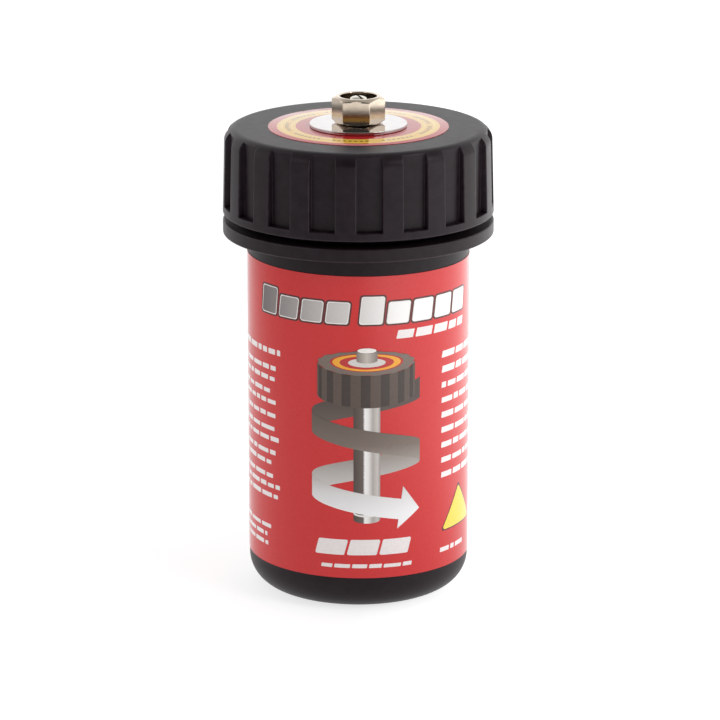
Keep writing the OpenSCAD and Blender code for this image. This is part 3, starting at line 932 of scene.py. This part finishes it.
def label_sheet():
    red = ink("label_red", 198, 22, 24, speckle=0.03, roughness=0.10)
    outline = box_outline(-LABEL_HALF, LABEL_HALF, *LABEL_Z, radius=2)
    wrap("label_sheet", [outline], red, base=BODY_R + 0.02, nodes=("label_wrap",))


def label_heading():
    """Two groups of silver blocks with a dark outline, and a row of small bars under them."""
    dark = ink("heading_outline", 74, 20, 22)
    silver = graded_ink("heading_silver", "along", -54, 66, (0.0, 96, 88, 86), (0.16, 150, 144, 142),
                        (0.3, 186, 180, 178), (0.46, 214, 210, 208), (0.6, 240, 238, 236),
                        (1.0, 250, 248, 247))
    rim = ink("heading_rim", 232, 226, 222)
    base, tall, lean = 141.6, 10.6, 1.4
    blocks = []
    for start, end, count in ((-54.0, -3.2, 4), (0.2, 64.4, 5)):
        width = (end - start) / count
        for k in range(count):
            blocks.append((start + k * width, start + (k + 1) * width - 1.7, tall if k else tall + 2.8))
    layers = (("outlines", dark, 0.8, 1), ("rims", rim, 0.0, 2), ("blocks", silver, -0.45, 3))
    for name, look, grow, layer in layers:
        bars = [box_outline(a - grow, b + grow, base - grow, base + rise + grow, lean, 1.2 + grow / 2)
                for a, b, rise in blocks]
        wrap("heading_" + name, bars, look, layer=layer)
    rng = random.Random(5)
    wrap("subheading_bars", word_bars(rng, 18, 62, 134.2, 4.2, 1.4, 1.0, (6, 10)), WHITE_INK, layer=1)


def label_print():
    """Columns of blank print, a plain triangle and a plain bar at the foot."""
    rng = random.Random(11)
    bars = []
    left = [(121.9, 3.0, -40.5)]
    left += [(z, 2.3, -40.5 - rng.uniform(0, 7)) for z in (114.0, 108.8, 102.5, 97.4, 90.8, 84.3, 79.2,
                                                         72.5, 67.4, 60.8, 55.9, 51.0)]
    left += [(z, 2.1, -46 - rng.uniform(0, 6)) for z in (35.4, 31.0, 26.6)]
    for z, height, end in left:
        bars += word_bars(rng, -84, end, z, height)
    right = [(121.2 - 7.37 * k, 3.4 if k < 2 else 2.9) for k in range(9)]
    for k, (z, height) in enumerate(right):
        bars += word_bars(rng, 44, 84 - 6 * rng.random(), z, height, lean=0.8 if k < 2 else 0.3)
    bars += word_bars(rng, 43.4, 64, 25.2, 2.5, lean=0.3)
    bars += word_bars(rng, -18, 26, 22.6, 2.0, 1.0, 0.4, (4, 9))
    wrap("label_columns", bars, WHITE_INK, layer=1)
    mark = [box_outline(s, s + 14.2, 29.0, 36.6, 2.0, 0.8) for s in (-21.0, -5.6, 9.8)]
    wrap("label_foot_bars", mark, WHITE_INK, layer=1)
    edge = ink("triangle_edge", 92, 26, 20)
    yellow = ink("triangle_yellow", 240, 206, 66)
    for name, grow, look, layer in (("border", 1.1, edge, 1), ("field", 0.0, yellow, 2)):
        foot = 36.0 - grow * 0.6
        corners = [(44.8 - grow, foot, 1.2), (74.6 + grow, foot, 1.2), (59.2, 55.6 + grow * 1.4, 1.2)]
        wrap("triangle_" + name, [rounded(corners, closed=True, support=99)], look, layer=layer)


def label_drawing():
    """Plain drawing of the cap and its rod, with a ribbon that winds down to an arrow."""
    mid, turn_r = 4.0, 26.4
    rod_r, rod_low, rod_high = 6.3, 46.6, 104
    pitch, ribbon_w, bow = 31.3, 10.2, 0.05

    def ribbon(start, end):
        """The stretch of the ribbon between two angles; 0 is the front of its first turn."""
        top, bottom = [], []
        for a in np.linspace(start, end, 36):
            s = mid + turn_r * math.sin(math.radians(a))
            z = 86.5 - pitch * a / 360 - bow * turn_r * math.cos(math.radians(a))
            top.append((s, z + ribbon_w / 2))
            bottom.append((s, z - ribbon_w / 2))
        return top + bottom[::-1]

    front = graded_ink("ribbon_front", "above", 48, 104, (0.0, 236, 235, 236), (0.2, 214, 211, 211),
                       (0.38, 168, 159, 154), (0.62, 114, 100, 91), (1.0, 76, 61, 53))
    back = graded_ink("ribbon_back", "above", 60, 106, (0.0, 206, 202, 199), (0.35, 150, 141, 135),
                      (0.7, 98, 84, 77), (1.0, 70, 56, 50))
    steel = graded_ink("rod_print", "along", mid - rod_r, mid + rod_r, (0.0, 70, 56, 50),
                       (0.36, 96, 84, 78), (0.42, 238, 236, 234), (0.55, 226, 223, 220),
                       (0.72, 168, 160, 155), (0.9, 196, 190, 186), (1.0, 150, 142, 138))
    wrap("ribbon_back_turns", [ribbon(-268, -92), ribbon(92, 268)], back, layer=1)
    rod = ellipse(mid, rod_low, rod_r, 1.9, 180, 360) + [(mid + rod_r, rod_high), (mid - rod_r, rod_high)]
    wrap("rod_drawing", [rod], steel, layer=2)
    end = ink("rod_end_print", 224, 220, 217)
    foot = ellipse(mid, rod_low + 3.1, rod_r, 1.9, 180, 360)
    foot += ellipse(mid, rod_low + 4.0, rod_r, 1.9, 0, -180)
    wrap("rod_foot_drawing", [foot], end, layer=3)
    arrow_z = 86.5 - pitch * 410 / 360
    head = [(mid + 17.6, arrow_z + 11.2), (mid + 26.2, arrow_z - 0.6), (mid + 14.6, arrow_z - 9.4)]
    band = ribbon(270, 400)
    tail = [p for p in band if p[0] < mid + 17.2]
    wrap("ribbon_front_turns", [ribbon(-90, 90)], front, layer=4)
    wrap("arrow_drawing", [tail, head], front, layer=4)
    label_cap(mid)


def label_cap(mid):
    """The drawn cap: ribbed side, top, sticker rings, washer and hexagon."""
    wide, tall = 23.6, 6.0
    top_z, low_z = 122.9, 107.2
    side = ink("drawn_cap_side", 82, 66, 57)
    dark = ink("drawn_cap_dark", 52, 39, 33)
    top = ink("drawn_cap_top", 112, 97, 88)
    outline = ellipse(mid, low_z, wide, tall, 180, 360) + ellipse(mid, top_z, wide, tall, 0, -180)
    wrap("cap_drawing_side", [outline], side, layer=5)
    strips = []
    for k in range(7):
        a, b = (math.radians(-76 + 23 * k + d) for d in (0, 11))
        corners = [(mid + wide * math.sin(x), -tall * math.cos(x)) for x in (a, b)]
        strips.append([(s, low_z + z + 0.3) for s, z in corners]
                      + [(s, top_z + z) for s, z in corners[::-1]])
    wrap("cap_drawing_ribs", strips, dark, layer=6)
    crest = []
    for a in np.radians(np.arange(0, 360, 4)):
        reach = 1 - 0.035 * smooth_step(math.cos(16 * a), -0.4, 0.4)
        crest.append((mid + reach * wide * math.sin(a), top_z + reach * tall * math.cos(a)))
    wrap("cap_drawing_top", [crest], top, layer=7)
    rings = [("red", 17.4, (176, 34, 34)), ("gold", 16.2, (232, 160, 40)),
             ("inner_red", 12.8, (180, 40, 38)), ("washer", 8.8, (206, 200, 196))]
    for k, (name, r, levels) in enumerate(rings):
        disc = ellipse(mid, top_z + 0.4, r, r * tall / wide)
        wrap("cap_drawing_" + name, [disc], ink("drawn_" + name, *levels), layer=8 + k)
    nut = graded_ink("drawn_nut", "along", mid - 5, mid + 5, (0.0, 120, 108, 100),
                     (0.5, 188, 178, 170), (1.0, 120, 110, 104))
    body = ellipse(mid, top_z + 1.4, 4.9, 1.3, 180, 360) + ellipse(mid, top_z + 6.2, 4.9, 1.4, 0, -180)
    wrap("cap_drawing_nut", [body], nut, layer=12)
    crown = ink("drawn_nut_top", 232, 226, 222)
    wrap("cap_drawing_nut_top", [ellipse(mid, top_z + 6.2, 4.4, 1.2)], crown, layer=13)


# ---- studio
def floor():
    """Plain white light table that ends in front of the object. It glows more on the right and far
    in front, and less on the far left."""
    front, back, side = -1.7, 4.0, 2.4
    bm = bmesh.new()
    corners = ((-side, front), (side, front), (side, back), (-side, back))
    bm.faces.new([bm.verts.new((x, y, 0)) for x, y in corners])
    look = Look("light_table", Roughness=0.9, Specular_IOR_Level=0.2)
    look.feed(look.shader.inputs["Emission Color"], (1.0, 1.0, 1.0, 1.0))
    x, y, _ = look.axes()
    far = look.math("ADD", look.spread(x, -0.3, 0.0, -0.8, -0.4), look.spread(y, 0.35, 0.0, -1.1, -0.7))
    glow = look.math("ADD", look.spread(x, 0.72, 1.6, 0.0, 0.32), far)
    look.feed(look.shader.inputs["Emission Strength"], glow)
    greys = (0.45, 0.45, 0.45, 1.0), (0.47, 0.47, 0.47, 1.0)
    look.color(look.mix(look.spread(look.noise(60), 0.0, 1.0), *greys))
    sheet = new_object("floor", new_mesh("floor", bm))
    sheet.data.materials.append(look.material)


def surroundings():
    """White room that is dim towards the front, so that metal and gloss have something to show."""
    world = bpy.data.worlds.new("studio")
    bpy.context.scene.world = world
    world.use_nodes = True
    tree = world.node_tree
    tree.nodes.clear()

    def node(kind, **settings):
        made = tree.nodes.new(kind)
        for key, value in settings.items():
            setattr(made, key, value)
        return made

    def ramp(value, *limits):
        """Smooth change of a value, between limits (from, from, to, to)."""
        made = node("ShaderNodeMapRange", interpolation_type="SMOOTHSTEP")
        tree.links.new(value, made.inputs["Value"])
        for key, limit in zip(("From Min", "From Max", "To Min", "To Max"), limits):
            made.inputs[key].default_value = limit
        return made.outputs["Result"]

    def times(a, b):
        made = node("ShaderNodeMath", operation="MULTIPLY")
        tree.links.new(a, made.inputs[0])
        tree.links.new(b, made.inputs[1])
        return made.outputs[0]

    direction = node("ShaderNodeSeparateXYZ")
    tree.links.new(node("ShaderNodeTexCoord").outputs["Generated"], direction.inputs[0])
    x, y, z = direction.outputs
    front = ramp(y, -0.75, -0.25, 0.05, 1.0)
    sides = ramp(x, -0.8, 0.8, 1.25, 1.42)
    overhead = ramp(z, 0.3, 0.9, 1.0, 0.4)
    level = times(times(front, sides), overhead)
    lit = node("ShaderNodeBackground")
    lit.inputs["Color"].default_value = (1, 1, 1, 1)
    tree.links.new(level, lit.inputs["Strength"])
    seen = node("ShaderNodeBackground")
    seen.inputs["Color"].default_value = (1, 1, 1, 1)
    mix = node("ShaderNodeMixShader")
    tree.links.new(node("ShaderNodeLightPath").outputs["Is Camera Ray"], mix.inputs[0])
    tree.links.new(lit.outputs[0], mix.inputs[1])
    tree.links.new(seen.outputs[0], mix.inputs[2])
    tree.links.new(mix.outputs[0], node("ShaderNodeOutputWorld").inputs[0])


def softbox(name, place, target, size, power):
    light = bpy.data.lights.new(name, "AREA")
    light.shape = "RECTANGLE"
    light.size, light.size_y = size
    light.energy = power
    lamp = new_object(name, light)
    lamp.location = place
    lamp.rotation_euler = (Vector(target) - Vector(place)).to_track_quat("-Z", "Y").to_euler()
    lamp.visible_camera = False


def camera():
    """The photograph's view: from the front, looking down by 15.7 degrees."""
    distance, pitch = 1.89408, math.radians(15.6566)
    target = Vector((0.00076, 0, 0.10983))
    back = Vector((0, -math.cos(pitch), math.sin(pitch)))
    data = bpy.data.cameras.new("camera")
    data.sensor_width, data.lens = 36.0, 197.79
    data.clip_start, data.clip_end = 0.05, 50
    eye = new_object("camera", data)
    eye.location = target + back * distance
    eye.rotation_euler = (-back).to_track_quat("-Z", "Y").to_euler()
    bpy.context.scene.camera = eye
    bpy.context.scene.view_settings.view_transform = "Standard"


# ---- the object
camera()
canister()
for name in ("lower", "upper"):
    height = PORT_HEIGHTS["port_" + name]
    boss("boss_" + name, height)
    port("port_" + name, height)
cap()
cap_stack()
sheath()
core()
label_sheet()
label_heading()
label_print()
label_drawing()
floor()
surroundings()
softbox("key_softbox", (1.1, -0.9, 0.95), (0, 0, 0.12), (0.6, 0.6), 6.5)
softbox("fill_softbox", (-1.0, -1.0, 0.9), (0, 0, 0.12), (0.5, 0.5), 2)
